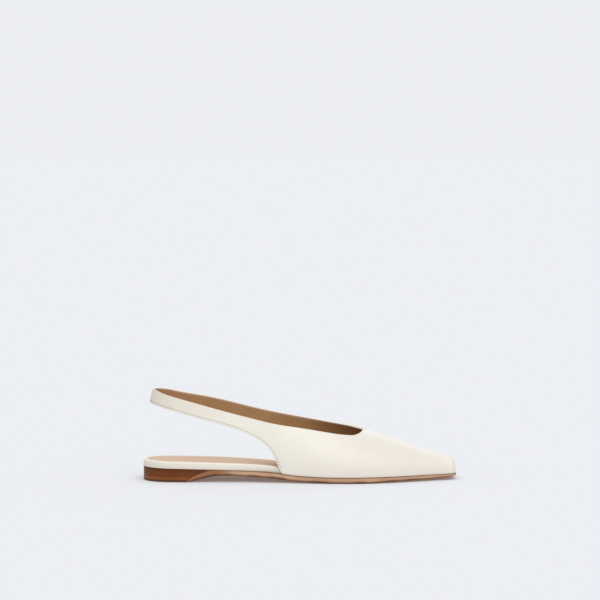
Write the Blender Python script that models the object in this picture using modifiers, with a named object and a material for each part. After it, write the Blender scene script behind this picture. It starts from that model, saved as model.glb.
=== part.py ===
"""Sling back flat for the right foot, with a square toe and a low stacked heel.

The upper is one hollow shell cut from the surface of a last. The last is a row of ribs that
rise from the edge of the sole to the ridge of the vamp or to the collar. Heel, outsole,
footbed and sock are plates that follow one outline. The toe points to +X, +Z is up, the
outer side of the foot is at -Y, and Z = 0 is the floor.
"""

import functools
import math

import bmesh
import bpy
import numpy as np

# Driving dimensions of the shoe, in metres
SHOE_LENGTH = 0.268  # back of the heel to the front of the toe
BALL_WIDTH = 0.076  # across the outsole at the ball of the foot
COLLAR_HEIGHT = 0.078  # floor to the top of the strap at the back
INSTEP_HEIGHT = 0.0433  # floor to the end of the throat
SEAT_HEIGHT = 0.0120  # floor to the top of the heel block at the back
BALL_HEIGHT = 0.0052  # floor to the top of the outsole under the ball
STRAP_WIDTH = 0.0118  # height of the strap's wall
WALL = 0.0016  # leather and lining of the upper
FOOTBED_RIM = 0.0056  # height of the wrapped rim at the back
SOCK_THICKNESS = 0.0008
TOP_PIECE_THICKNESS = 0.0015
TOE_CORNER = 0.0035  # radius of the toe's corners, seen from above
TOE_SWELL = 0.0004  # how far the toe of the upper stands in front of the sole
THROAT_REACH = 0.0090  # length of the round end of the throat
THROAT_SPLAY = 0.15  # share of its ellipse that the round end leaves out where it starts
FEATHER_INSET = 0.0005  # how far the foot of the upper lies inside the outsole's edge
LIP_WIDTH = 0.0032  # width of the rim that shows round the sock
EDGE_ROUND = 0.0022  # how far in from its side the outsole's edge begins to round up
EDGE_TUCK = 0.0003  # how far in the outsole's side lies at its lower edge
EDGE_LIFT = 0.0008  # how high that rounding lifts the lower edge
EDGE_LIMIT = 0.4  # most of the outsole's thickness that the rounding takes
RIM_ROUND = 0.0012  # radius of the rim's upper edge
SOCK_ROUND = 0.0012  # width of the sock's soft edge
HEEL_TAPER = 0.0002  # how far in the heel's foot lies
TOP_PIECE_SETBACK = 0.0012  # how far behind the breast the top piece ends
CLEARANCE = 0.0003  # gap between pieces that meet
LIP_DEPTH = SOCK_THICKNESS + CLEARANCE  # the sock lies in the footbed, flush with its rim

SOLE_LENGTH = SHOE_LENGTH - TOE_SWELL
HEEL_X = -SHOE_LENGTH / 2
TOE_X = HEEL_X + SOLE_LENGTH
HEEL_ROUND = 0.0255  # length of the round end of the heel, seen from above
HEEL_POWER = 2.2  # how square that round end is
LATERAL, MEDIAL = -1, 1

# Half widths of the sole as shares of the ball width, at shares of the sole's length
OUTLINE = [
    {"along": 0.00, "lateral": 0.322, "medial": 0.322},
    {"along": 0.08, "lateral": 0.336, "medial": 0.330},
    {"along": 0.17, "lateral": 0.350, "medial": 0.342},
    {"along": 0.25, "lateral": 0.355, "medial": 0.334},
    {"along": 0.33, "lateral": 0.365, "medial": 0.311},
    {"along": 0.40, "lateral": 0.388, "medial": 0.295},
    {"along": 0.47, "lateral": 0.430, "medial": 0.322},
    {"along": 0.54, "lateral": 0.474, "medial": 0.381},
    {"along": 0.60, "lateral": 0.504, "medial": 0.440},
    {"along": 0.66, "lateral": 0.512, "medial": 0.482},
    {"along": 0.71, "lateral": 0.493, "medial": 0.492},
    {"along": 0.77, "lateral": 0.440, "medial": 0.472},
    {"along": 0.84, "lateral": 0.344, "medial": 0.410},
    {"along": 0.90, "lateral": 0.248, "medial": 0.334},
    {"along": 0.95, "lateral": 0.170, "medial": 0.272},
    {"along": 1.00, "lateral": 0.100, "medial": 0.218},
]

# Heights of the surface that footbed and upper stand on, as shares of the seat height above
# the ball height
SEAT = [
    {"along": 0.00, "rise": 1.00},
    {"along": 0.20, "rise": 0.84},
    {"along": 0.28, "rise": 0.75},
    {"along": 0.34, "rise": 0.66},
    {"along": 0.40, "rise": 0.56},
    {"along": 0.44, "rise": 0.40},
    {"along": 0.48, "rise": 0.19},
    {"along": 0.53, "rise": 0.08},
    {"along": 0.59, "rise": 0.00},
    {"along": 0.85, "rise": 0.00},
    {"along": 1.00, "rise": 0.02},
]

# Profile of the outsole's leaf down the breast of the heel, from its foot to the seat. Heights
# of the upper face are shares of the seat's height there, and those of the lower face shares
# of the ball height.
BREAST = [
    {"upper": 0.138, "upper_height": 0.03, "lower": 0.141, "lower_height": 0.06},
    {"upper": 0.148, "upper_height": 0.20, "lower": 0.166, "lower_height": 0.28},
    {"upper": 0.165, "upper_height": 0.48, "lower": 0.185, "lower_height": 0.49},
    {"upper": 0.190, "upper_height": 0.73, "lower": 0.206, "lower_height": 0.72},
    {"upper": 0.222, "upper_height": 1.00, "lower": 0.228, "lower_height": 0.96},
]
# Lower face of the outsole from there to the toe, as shares of the ball height
UNDERSIDE = [
    {"along": 0.250, "height": 1.03},
    {"along": 0.300, "height": 0.99},
    {"along": 0.350, "height": 0.87},
    {"along": 0.416, "height": 0.62},
    {"along": 0.467, "height": 0.34},
    {"along": 0.518, "height": 0.14},
    {"along": 0.570, "height": 0.03},
    {"along": 0.600, "height": 0.00},
    {"along": 0.700, "height": 0.00},
    {"along": 0.735, "height": 0.05},
    {"along": 0.790, "height": 0.14},
    {"along": 0.850, "height": 0.22},
    {"along": 0.913, "height": 0.31},
    {"along": 0.964, "height": 0.43},
    {"along": 1.000, "height": 0.53},
]

# Height of the footbed's rim, as shares of its height at the back, and how far its side
# stands inside the outsole's edge, as shares of what the wall of the upper takes
FOOTBED = [
    {"along": 0.00, "rim": 1.00, "inset": 0.00},
    {"along": 0.12, "rim": 0.99, "inset": 0.00},
    {"along": 0.25, "rim": 0.99, "inset": 0.10},
    {"along": 0.34, "rim": 0.97, "inset": 0.45},
    {"along": 0.40, "rim": 0.92, "inset": 0.90},
    {"along": 0.43, "rim": 0.86, "inset": 1.00},
    {"along": 0.48, "rim": 0.75, "inset": 1.00},
    {"along": 0.54, "rim": 0.58, "inset": 1.00},
    {"along": 0.62, "rim": 0.45, "inset": 1.00},
    {"along": 0.72, "rim": 0.41, "inset": 1.00},
    {"along": 1.00, "rim": 0.41, "inset": 1.00},
]

# Ribs of the last. "along" is where a rib stands on the outline, and from 1 to 2 it crosses
# the flat front of the toe to its middle. The crest is the rib's upper end: its height is a
# share of the collar height and one of the instep height, added. "ridge" moves the crest to
# the inner side. "lateral" and "medial" are the half widths between the open crests, as shares
# of the ball width, and they close up at the end of the throat. "turn" is the slope of the wall
# at the crest and "lean" that at its foot, in degrees from upright. The pulls are the lengths
# of those slopes, as shares of the chord.
RIBS = [
    {"along": 0.00, "crest": 0.031, "collar": 1.03, "instep": 0.00, "ridge": 0.000,
     "lateral": 0.000, "medial": 0.000, "turn": 14, "lean": 6, "foot_pull": 0.36, "crest_pull": 0.34},
    {"along": 0.02, "crest": 0.041, "collar": 1.03, "instep": 0.00, "ridge": 0.000,
     "lateral": 0.122, "medial": 0.122, "turn": 13, "lean": 6, "foot_pull": 0.36, "crest_pull": 0.34},
    {"along": 0.06, "crest": 0.067, "collar": 1.03, "instep": 0.00, "ridge": 0.000,
     "lateral": 0.208, "medial": 0.206, "turn": 12, "lean": 6, "foot_pull": 0.36, "crest_pull": 0.34},
    {"along": 0.12, "crest": 0.122, "collar": 1.03, "instep": 0.00, "ridge": 0.000,
     "lateral": 0.268, "medial": 0.262, "turn": 12, "lean": 6, "foot_pull": 0.36, "crest_pull": 0.34},
    {"along": 0.20, "crest": 0.200, "collar": 1.03, "instep": 0.00, "ridge": 0.000,
     "lateral": 0.300, "medial": 0.292, "turn": 10, "lean": 5, "foot_pull": 0.36, "crest_pull": 0.34},
    {"along": 0.30, "crest": 0.300, "collar": 1.03, "instep": 0.00, "ridge": 0.000,
     "lateral": 0.310, "medial": 0.300, "turn": 14, "lean": 6, "foot_pull": 0.36, "crest_pull": 0.34},
    {"along": 0.40, "crest": 0.400, "collar": 0.88, "instep": 0.12, "ridge": 0.006,
     "lateral": 0.310, "medial": 0.296, "turn": 18, "lean": 8, "foot_pull": 0.36, "crest_pull": 0.34},
    {"along": 0.48, "crest": 0.480, "collar": 0.56, "instep": 0.48, "ridge": 0.022,
     "lateral": 0.300, "medial": 0.280, "turn": 26, "lean": 9, "foot_pull": 0.36, "crest_pull": 0.33},
    {"along": 0.55, "crest": 0.550, "collar": 0.28, "instep": 0.80, "ridge": 0.046,
     "lateral": 0.279, "medial": 0.256, "turn": 42, "lean": 9, "foot_pull": 0.36, "crest_pull": 0.33},
    {"along": 0.60, "crest": 0.600, "collar": 0.12, "instep": 0.98, "ridge": 0.066,
     "lateral": 0.294, "medial": 0.266, "turn": 62, "lean": 9, "foot_pull": 0.36, "crest_pull": 0.33},
    {"along": 0.65, "crest": 0.650, "collar": 0.03, "instep": 1.055, "ridge": 0.073,
     "lateral": 0.302, "medial": 0.286, "turn": 80, "lean": 9, "foot_pull": 0.36, "crest_pull": 0.33},
    {"along": 0.70, "crest": 0.700, "collar": 0.00, "instep": 1.00, "ridge": 0.068,
     "lateral": 0.250, "medial": 0.250, "turn": 89, "lean": 9, "foot_pull": 0.35, "crest_pull": 0.33},
    {"along": 0.77, "crest": 0.770, "collar": 0.00, "instep": 0.86, "ridge": 0.053,
     "lateral": 0.000, "medial": 0.000, "turn": 90, "lean": 8, "foot_pull": 0.34, "crest_pull": 0.36},
    {"along": 0.84, "crest": 0.836, "collar": 0.00, "instep": 0.72, "ridge": 0.044,
     "lateral": 0.000, "medial": 0.000, "turn": 90, "lean": 6, "foot_pull": 0.34, "crest_pull": 0.40},
    {"along": 0.90, "crest": 0.892, "collar": 0.00, "instep": 0.60, "ridge": 0.042,
     "lateral": 0.000, "medial": 0.000, "turn": 88, "lean": 4, "foot_pull": 0.38, "crest_pull": 0.44},
    {"along": 0.95, "crest": 0.934, "collar": 0.00, "instep": 0.52, "ridge": 0.047,
     "lateral": 0.000, "medial": 0.000, "turn": 85, "lean": 3, "foot_pull": 0.44, "crest_pull": 0.46},
    {"along": 0.99, "crest": 0.956, "collar": 0.00, "instep": 0.476, "ridge": 0.055,
     "lateral": 0.000, "medial": 0.000, "turn": 80, "lean": 2, "foot_pull": 0.54, "crest_pull": 0.44},
    {"along": 1.00, "crest": 0.963, "collar": 0.00, "instep": 0.462, "ridge": 0.057,
     "lateral": 0.000, "medial": 0.000, "turn": 76, "lean": 8, "foot_pull": 0.60, "crest_pull": 0.42},
    {"along": 2.00, "crest": 0.970, "collar": 0.00, "instep": 0.447, "ridge": 0.059,
     "lateral": 0.000, "medial": 0.000, "turn": 72, "lean": 12, "foot_pull": 0.62, "crest_pull": 0.42},
]

# Height of the topline, where 0 is the end of the throat and 1 the back of the collar
TOPLINE = [
    {"along": 0.000, "lateral": 1.000, "medial": 1.000},
    {"along": 0.030, "lateral": 0.960, "medial": 0.985},
    {"along": 0.075, "lateral": 0.876, "medial": 0.945},
    {"along": 0.111, "lateral": 0.804, "medial": 0.882},
    {"along": 0.181, "lateral": 0.663, "medial": 0.784},
    {"along": 0.264, "lateral": 0.490, "medial": 0.643},
    {"along": 0.340, "lateral": 0.343, "medial": 0.490},
    {"along": 0.416, "lateral": 0.205, "medial": 0.360},
    {"along": 0.500, "lateral": 0.100, "medial": 0.242},
    {"along": 0.570, "lateral": 0.002, "medial": 0.162},
    {"along": 0.627, "lateral": -0.080, "medial": 0.098},
    {"along": 0.675, "lateral": -0.118, "medial": 0.041},
]
THROAT = 0.703  # share of the length where the throat ends
CREST_CLOSE = 0.512  # share of the length from which the crests of both sides draw together
RIDGE_START = 0.600  # and from which the ribs turn from square to the outline to the ridge

# Lower edge of strap and quarter: 0 is a strap's width below the topline and 1 is the sole
REAR_EDGE = [
    {"along": 0.000, "drop": 0.000},
    {"along": 0.270, "drop": 0.000},
    {"along": 0.300, "drop": 0.016},
    {"along": 0.335, "drop": 0.062},
    {"along": 0.365, "drop": 0.125},
    {"along": 0.385, "drop": 0.205},
    {"along": 0.402, "drop": 0.325},
    {"along": 0.415, "drop": 0.470},
    {"along": 0.424, "drop": 0.620},
    {"along": 0.431, "drop": 0.780},
    {"along": 0.437, "drop": 0.920},
    {"along": 0.443, "drop": 1.000},
]
CORNER = 0.443  # share of the length where the quarter meets the sole

# Columns of the upper's surface: where each starts on the lower edge and ends on the upper
# edge, and how many columns follow it before the next row
COLUMNS = [
    {"lower": 0.000, "upper": 0.000, "steps": 4},
    {"lower": 0.020, "upper": 0.020, "steps": 4},
    {"lower": 0.080, "upper": 0.080, "steps": 4},
    {"lower": 0.160, "upper": 0.160, "steps": 4},
    {"lower": 0.250, "upper": 0.262, "steps": 4},
    {"lower": 0.330, "upper": 0.370, "steps": 3},
    {"lower": 0.380, "upper": 0.430, "steps": 3},
    {"lower": 0.410, "upper": 0.465, "steps": 3},
    {"lower": 0.428, "upper": 0.490, "steps": 3},
    {"lower": 0.443, "upper": 0.512, "steps": 4},
    {"lower": 0.520, "upper": 0.570, "steps": 4},
    {"lower": 0.600, "upper": 0.630, "steps": 3},
    {"lower": 0.640, "upper": 0.660, "steps": 3},
    {"lower": 0.668, "upper": 0.684, "steps": 2},
    {"lower": 0.682, "upper": 0.694, "steps": 2},
    {"lower": 0.693, "upper": 0.700, "steps": 2},
    {"lower": 0.703, "upper": THROAT, "steps": 4},
    {"lower": 0.770, "upper": 0.765, "steps": 5},
    {"lower": 0.900, "upper": 0.900, "steps": 5},
    {"lower": 0.985, "upper": 0.985, "steps": 3},
    {"lower": 1.000, "upper": 1.000, "steps": 2},
    {"lower": 2.000, "upper": 2.000, "steps": 0},
]
ROWS = 10  # rows of faces from the lower to the upper edge


def through(table, key, column, at):
    """A smooth curve through one column of a table, with no swing past its values."""
    x = np.array([row[key] for row in table], float)
    y = np.array([row[column] for row in table], float)
    step = np.diff(x)
    slope = np.diff(y) / step
    tangent = np.zeros(len(x))
    for i in range(1, len(x) - 1):
        if slope[i - 1] * slope[i] > 0:
            before = 2 * step[i] + step[i - 1]
            after = step[i] + 2 * step[i - 1]
            tangent[i] = (before + after) / (before / slope[i - 1] + after / slope[i])
    tangent[0] = slope[0]
    tangent[-1] = slope[-1]
    at = np.clip(at, x[0], x[-1])
    i = np.clip(np.searchsorted(x, at, side="right") - 1, 0, len(x) - 2)
    t = (at - x[i]) / step[i]
    return (
        y[i] * (1 + 2 * t) * (1 - t) ** 2
        + y[i + 1] * t**2 * (3 - 2 * t)
        + step[i] * t * (1 - t) * (tangent[i] * (1 - t) - tangent[i + 1] * t)
    )


def spline(x, y, closed):
    """A curve with no break in its curvature through some points, as a function. A closed
    one repeats, and its last point stands for its first."""
    x = np.array(x, float)
    y = np.array(y, float)
    step = np.diff(x)
    slope = np.diff(y) / step
    count = len(x)
    matrix = np.zeros((count, count))
    right = np.zeros(count)
    for i in range(1, count - 1):
        matrix[i, i - 1 : i + 2] = (step[i - 1], 2 * (step[i - 1] + step[i]), step[i])
        right[i] = 6 * (slope[i] - slope[i - 1])
    matrix[0, 0] = 1
    matrix[-1, -1] = 1
    if closed:
        matrix[0, -1] = -1
        matrix[-1, [0, 1, -2, -1]] = (step[0], step[0] / 2, step[-1] / 2, step[-1])
        right[-1] = 3 * (slope[0] - slope[-1])
    bend = np.linalg.solve(matrix, right)

    def curve(at):
        i = int(np.clip(np.searchsorted(x, at, side="right") - 1, 0, count - 2))
        after = (at - x[i]) / step[i]
        before = 1 - after
        return (
            before * y[i]
            + after * y[i + 1]
            + step[i] ** 2 / 6 * ((before**3 - before) * bend[i] + (after**3 - after) * bend[i + 1])
        )

    return curve


def side_name(side):
    return "lateral" if side == LATERAL else "medial"


def outline_point(side, along):
    """A point of the outsole's outline, as x and y, where along runs from 0 to 2."""
    share = min(along, 1.0)
    width = BALL_WIDTH * through(OUTLINE, "along", side_name(side), share)
    from_heel = share * SOLE_LENGTH
    if from_heel < HEEL_ROUND:
        width *= (1 - (1 - from_heel / HEEL_ROUND) ** HEEL_POWER) ** (1 / HEEL_POWER)
    to_corner = TOE_CORNER - (SOLE_LENGTH - from_heel)
    if to_corner > 0:
        width -= TOE_CORNER - math.sqrt(max(TOE_CORNER**2 - to_corner**2, 0))
    y = side * width
    if along > 1:
        y += (along - 1) * (toe_middle() - y)
    return HEEL_X + from_heel, y


def toe_middle():
    """The middle of the toe's flat front, which lies towards the inner side."""
    return BALL_WIDTH * (OUTLINE[-1]["medial"] - OUTLINE[-1]["lateral"]) / 2


def outline_shares():
    """Shares along the outline, close together round the heel and the toe's corner."""
    heel_end = HEEL_ROUND / SOLE_LENGTH
    corner_start = 1 - TOE_CORNER / SOLE_LENGTH
    quarter = np.linspace(0, math.pi / 2, 41)
    return np.concatenate([
        heel_end * (1 - np.cos(quarter)),
        np.linspace(heel_end, corner_start, 161)[1:-1],
        corner_start + (1 - corner_start) * np.sin(quarter),
        np.linspace(1, 2, 11)[1:],
    ])


@functools.cache
def outline(side):
    """Points of the outline from the heel's back to the toe's middle, and their inward normals."""
    points = np.array([outline_point(side, along) for along in outline_shares()])
    run = np.gradient(points, axis=0)
    run /= np.linalg.norm(run, axis=1)[:, None]
    inwards = np.column_stack([side * run[:, 1], -side * run[:, 0]])
    inwards[0] = (1, 0)
    inwards[-1] = (-1, 0)
    return points, inwards


def way(along):
    """Distance round the sole's edge from the heel's back, the mean of both sides."""
    lengths = []
    for side in (LATERAL, MEDIAL):
        steps = np.linalg.norm(np.diff(outline(side)[0], axis=0), axis=1)
        lengths.append(np.concatenate([[0], np.cumsum(steps)]))
    return np.interp(along, outline_shares(), np.mean(lengths, axis=0))


def half_width(side, x, inset):
    """Distance from the X axis to the outline moved inwards, on one side, at x."""
    points, inwards = outline(side)
    moved = points + inset * inwards
    widest = np.argmax(moved[:, 0])
    return np.interp(x, moved[: widest + 1, 0], side * moved[: widest + 1, 1])


def seat_height(x):
    """Height of the surface on which the footbed and the upper stand."""
    rise = through(SEAT, "along", "rise", (x - HEEL_X) / SOLE_LENGTH)
    return BALL_HEIGHT + rise * (SEAT_HEIGHT - BALL_HEIGHT)


def stations(start, end, count, square_end):
    """Values of x for a plate's cross-sections, closer together round the heel and the toe."""
    round_end = start + HEEL_ROUND
    straight_end = end - (TOE_CORNER if square_end else 0)
    quarter = np.linspace(0, math.pi / 2, 11)
    parts = [start + HEEL_ROUND * (1 - np.cos(quarter)), np.linspace(round_end, straight_end, count)[1:]]
    if square_end:
        parts.append((straight_end + TOE_CORNER * np.sin(quarter[::2]))[1:])
    return np.concatenate(parts)


def track(x_values, heights, insets):
    """Matching points on both edges of a plate, at one level of its thickness."""
    insets = np.broadcast_to(insets, np.shape(x_values))
    edges = []
    for side in (LATERAL, MEDIAL):
        y = [side * half_width(side, x, inset) for x, inset in zip(x_values, insets)]
        edges.append(np.column_stack([x_values, y, heights]))
    return edges


def new_object(name, mesh_data, colour, roughness):
    """An object with its own material, in the shoe's collection."""
    mesh = bpy.data.meshes.new(name)
    mesh_data.to_mesh(mesh)
    mesh_data.free()
    mesh.shade_smooth()
    mesh.set_sharp_from_angle(angle=math.radians(40))
    material = bpy.data.materials.new(name)
    material.use_nodes = True
    shader = material.node_tree.nodes["Principled BSDF"]
    shader.inputs["Base Color"].default_value = (*colour, 1)
    shader.inputs["Roughness"].default_value = roughness
    shader.inputs["Metallic"].default_value = 0
    mesh.materials.append(material)
    made = bpy.data.objects.new(name, mesh)
    bpy.data.collections["sling_back_flat"].objects.link(made)
    return made


def plate(name, tracks, colour, roughness):
    """A closed body through tracks that run from its lower to its upper face."""
    data = bmesh.new()
    levels = [[[data.verts.new(point) for point in edge] for edge in edges] for edges in tracks]
    count = len(levels[0][0])
    for below, above in zip(levels, levels[1:]):
        for side in (0, 1):
            for i in range(count - 1):
                data.faces.new((below[side][i], below[side][i + 1], above[side][i + 1], above[side][i]))
        for i in (0, count - 1):
            data.faces.new((below[0][i], below[1][i], above[1][i], above[0][i]))
    for lateral, medial in (levels[0], levels[-1]):
        for i in range(count - 1):
            data.faces.new((lateral[i], lateral[i + 1], medial[i + 1], medial[i]))
    bmesh.ops.remove_doubles(data, verts=data.verts, dist=1e-6)
    bmesh.ops.recalc_face_normals(data, faces=data.faces)
    return new_object(name, data, colour, roughness)


def make_outsole():
    """Leather sole from the toe to the waist, turned down over the breast of the heel."""
    rows = []
    for row in BREAST:
        rows.append((row["lower"], row["lower_height"], row["upper"], row["upper_height"]))
    for row in UNDERSIDE:
        rows.append((row["along"], row["height"], row["along"], 1.0))
    profile = []
    for at, (lower, lower_height, upper, upper_height) in enumerate(rows):
        upper_z = upper_height * seat_height(HEEL_X + upper * SOLE_LENGTH)
        lower_z = lower_height * BALL_HEIGHT
        profile.append({"at": at, "lower": lower, "low": lower_z, "upper": upper, "high": upper_z})
    # Sections stand twice as close as the rows, and again closer round the toe's corner
    flat = profile[-2]["at"]
    corner = 1 - TOE_CORNER / SOLE_LENGTH
    into_last = (corner - rows[-2][0]) / (rows[-1][0] - rows[-2][0])
    steps = np.concatenate([
        np.linspace(0, flat, 2 * flat + 1),
        flat + into_last + (1 - into_last) * np.sin(np.linspace(0, math.pi / 2, 6)),
    ])
    lower_x, low, upper_x, high = [
        np.array([through(profile, "at", column, at) for at in steps])
        for column in ("lower", "low", "upper", "high")
    ]
    lower_x = HEEL_X + lower_x * SOLE_LENGTH
    upper_x = HEEL_X + upper_x * SOLE_LENGTH
    lift = np.minimum(EDGE_LIFT, (high - low) * EDGE_LIMIT)
    side_foot = low + lift
    tracks = [
        track(np.minimum(lower_x, TOE_X - EDGE_ROUND), low, EDGE_ROUND),
        track(np.minimum(lower_x, TOE_X - EDGE_TUCK), side_foot, EDGE_TUCK),
        track((3 * lower_x + upper_x) / 4, (3 * side_foot + high) / 4, 0),
        track(upper_x, high, 0),
    ]
    return plate("outsole", tracks, (0.45, 0.24, 0.12), 0.5)


def breast_x(height):
    """Where the outsole's leaf lies against the heel block, at a height."""
    rows = []
    for row in BREAST:
        x = HEEL_X + SOLE_LENGTH * row["upper"]
        rows.append({"x": x, "z": row["upper_height"] * seat_height(x)})
    return through(rows, "z", "x", height)


def breast_gap(height):
    """Distance along X that keeps the clearance, square to the slope of the leaf there."""
    return math.hypot(breast_x(height) - breast_x(height - CLEARANCE), CLEARANCE)


def make_heel():
    """Stacked heel block with a sloping breast, standing on its top piece."""
    foot = TOP_PIECE_THICKNESS + CLEARANCE
    head = seat_height(HEEL_X + SOLE_LENGTH * BREAST[-1]["upper"])
    tracks = []
    for share in np.linspace(0, 1, 9):
        front_height = foot + share * (head - foot)
        front = breast_x(front_height) - breast_gap(front_height)
        x_values = stations(HEEL_X, front, 5, False)
        seat = np.array([seat_height(x) for x in x_values])
        part = (front_height - foot) / (head - foot)
        tracks.append(track(x_values, foot + part * (seat - foot), HEEL_TAPER * (1 - share)))
    return plate("heel", tracks, (0.17, 0.06, 0.03), 0.4)


def make_top_piece():
    """Thin wearing piece under the heel."""
    end = HEEL_X + SOLE_LENGTH * BREAST[0]["lower"] - TOP_PIECE_SETBACK
    x_values = stations(HEEL_X, end, 5, False)
    level = np.ones(len(x_values))
    tracks = [
        track(x_values, 0 * level, HEEL_TAPER),
        track(x_values, TOP_PIECE_THICKNESS * level, HEEL_TAPER),
    ]
    return plate("heel_top_piece", tracks, (0.08, 0.04, 0.025), 0.6)


def footbed_inset(x):
    """How far the footbed's side stands inside the outsole's edge."""
    room = FEATHER_INSET + WALL + 2 * CLEARANCE
    return room * through(FOOTBED, "along", "inset", (x - HEEL_X) / SOLE_LENGTH)


def rim_height(x):
    """Height of the footbed's upper face above the floor."""
    share = through(FOOTBED, "along", "rim", (x - HEEL_X) / SOLE_LENGTH)
    return seat_height(x) + CLEARANCE + share * FOOTBED_RIM


def rounded_edge():
    """A rounded edge from its side to its top, as shares of its width and of its depth."""
    return [(1 - math.cos(turn), 1 - math.sin(turn)) for turn in np.linspace(0, math.pi / 2, 3)]


def lining_track(inset, height_at):
    """A track inside the wall of the upper, moved inwards from the footbed's side."""
    end = TOE_X - FEATHER_INSET - WALL - 2 * CLEARANCE - inset
    x_values = stations(HEEL_X + inset, end, 30, True)
    insets = np.array([footbed_inset(x) + inset for x in x_values])
    return track(x_values, np.array([height_at(x) for x in x_values]), insets)


def make_footbed():
    """Insole board wrapped in leather, with a rim round the bed of the sock."""
    tracks = [lining_track(0, lambda x: seat_height(x) + CLEARANCE)]
    for inset, depth in rounded_edge():
        tracks.append(lining_track(RIM_ROUND * inset, lambda x: rim_height(x) - RIM_ROUND * depth))
    tracks.append(lining_track(LIP_WIDTH, rim_height))
    tracks.append(lining_track(LIP_WIDTH, lambda x: rim_height(x) - LIP_DEPTH))
    return plate("footbed", tracks, (0.78, 0.72, 0.62), 0.45)


def make_sock():
    """Thin padded sock that lies in the footbed, flush with its rim."""
    side = LIP_WIDTH + CLEARANCE
    tracks = [lining_track(side, lambda x: rim_height(x) - SOCK_THICKNESS)]
    for inset, depth in rounded_edge():
        drop = SOCK_THICKNESS * depth / 2
        tracks.append(lining_track(side + SOCK_ROUND * inset, lambda x: rim_height(x) - drop))
    return plate("sock", tracks, (0.62, 0.42, 0.28), 0.55)


@functools.cache
def rib_curve(column):
    """One column of the ribs' table as a closed curve, outer side ahead and inner side behind."""
    ways = [way(row["along"]) for row in RIBS]
    if column == "spread":
        ahead = [row["lateral"] for row in RIBS]
        behind = [-row["medial"] for row in RIBS]
    else:
        ahead = behind = [row[column] for row in RIBS]
    return spline([-w for w in ways[:0:-1]] + ways, behind[:0:-1] + ahead, True)


def fade(along, start):
    """Falls softly from 1 at a share of the length to 0 at the end of the throat."""
    share = np.clip((THROAT - along) / (THROAT - start), 0, 1)
    return share**2 * (3 - 2 * share)


@functools.cache
def rib_shape(side, along):
    """The four control points of one rib of the last, from its foot to its crest."""
    columns = ("crest", "collar", "instep", "ridge", "turn", "lean", "foot_pull", "crest_pull", "spread")
    value = {column: rib_curve(column)(-side * way(along)) for column in columns}
    points, inwards = outline(side)
    shares = outline_shares()
    foot = np.zeros(3)
    outwards = np.zeros(3)
    for axis in (0, 1):
        foot[axis] = np.interp(along, shares, (points + FEATHER_INSET * inwards)[:, axis])
        outwards[axis] = -np.interp(along, shares, inwards[:, axis])
    foot[2] = seat_height(foot[0]) + CLEARANCE
    crest = np.array([
        HEEL_X + value["crest"] * SHOE_LENGTH,
        BALL_WIDTH * (value["ridge"] - fade(along, CREST_CLOSE) * value["spread"]),
        COLLAR_HEIGHT * value["collar"] + INSTEP_HEIGHT * value["instep"],
    ])
    from_crest = np.array([foot[0] - crest[0], foot[1] - crest[1], 0])
    square = fade(along, RIDGE_START)
    out = square * outwards + (1 - square) * from_crest / np.linalg.norm(from_crest)
    out /= np.linalg.norm(out)
    up = np.array([0, 0, 1])
    chord = np.linalg.norm(crest - foot)
    lean = math.radians(value["lean"])
    turn = math.radians(value["turn"])
    foot_pull = (math.sin(lean) * out + math.cos(lean) * up) * value["foot_pull"] * chord
    crest_pull = (math.sin(turn) * out - math.cos(turn) * up) * value["crest_pull"] * chord
    return np.array([foot, foot + foot_pull, crest + crest_pull, crest])


def rib_point(shape, girth):
    """A point of a rib, where girth runs from 0 at its foot to 1 at its crest."""
    weights = np.array([
        (1 - girth) ** 3,
        3 * girth * (1 - girth) ** 2,
        3 * girth**2 * (1 - girth),
        girth**3,
    ])
    return weights @ shape


def girth_at(side, along, axis, value):
    """The girth at which a rib reaches a height, or a distance from the ridge."""
    shape = rib_shape(side, along)
    girths = np.linspace(0, 1, 101)
    reached = np.array([rib_point(shape, girth)[axis] for girth in girths])
    if axis == 1:
        reached = -abs(reached - shape[-1][1])
        value = -value
    return np.interp(value, reached, girths)


@functools.cache
def topline_curve():
    """Height of the topline as a curve, outer side ahead and inner side behind."""
    ways = [way(row["along"]) for row in TOPLINE]
    ahead = [row["lateral"] for row in TOPLINE]
    behind = [row["medial"] for row in TOPLINE]
    return spline([-w for w in ways[:0:-1]] + ways, behind[:0:-1] + ahead, False)


def topline_height(side, along):
    share = topline_curve()(-side * way(along))
    return INSTEP_HEIGHT + share * (COLLAR_HEIGHT - INSTEP_HEIGHT)


def upper_edge(side, along):
    """The girth of the topline on a rib: by height along the side, then round the throat."""
    throat_start = THROAT - THROAT_REACH / SHOE_LENGTH
    if along >= THROAT:
        return 1.0
    if along <= throat_start:
        return girth_at(side, along, 2, topline_height(side, along))
    start = rib_shape(side, throat_start)
    start_girth = girth_at(side, throat_start, 2, topline_height(side, throat_start))
    start_width = abs(rib_point(start, start_girth)[1] - start[-1][1])
    part = (along - throat_start) / (THROAT - throat_start)
    round_part = THROAT_SPLAY + (1 - THROAT_SPLAY) * part
    narrowing = math.sqrt((1 - round_part**2) / (1 - THROAT_SPLAY**2))
    return girth_at(side, along, 1, start_width * narrowing)


def lower_edge(side, along):
    """The girth of the strap's and the quarter's lower edge on a rib."""
    if along >= CORNER:
        return 0.0
    strap = topline_height(side, along) - STRAP_WIDTH
    foot = rib_shape(side, along)[0][2]
    drop = through(REAR_EDGE, "along", "drop", along)
    return girth_at(side, along, 2, strap + drop * (foot - strap))


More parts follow.
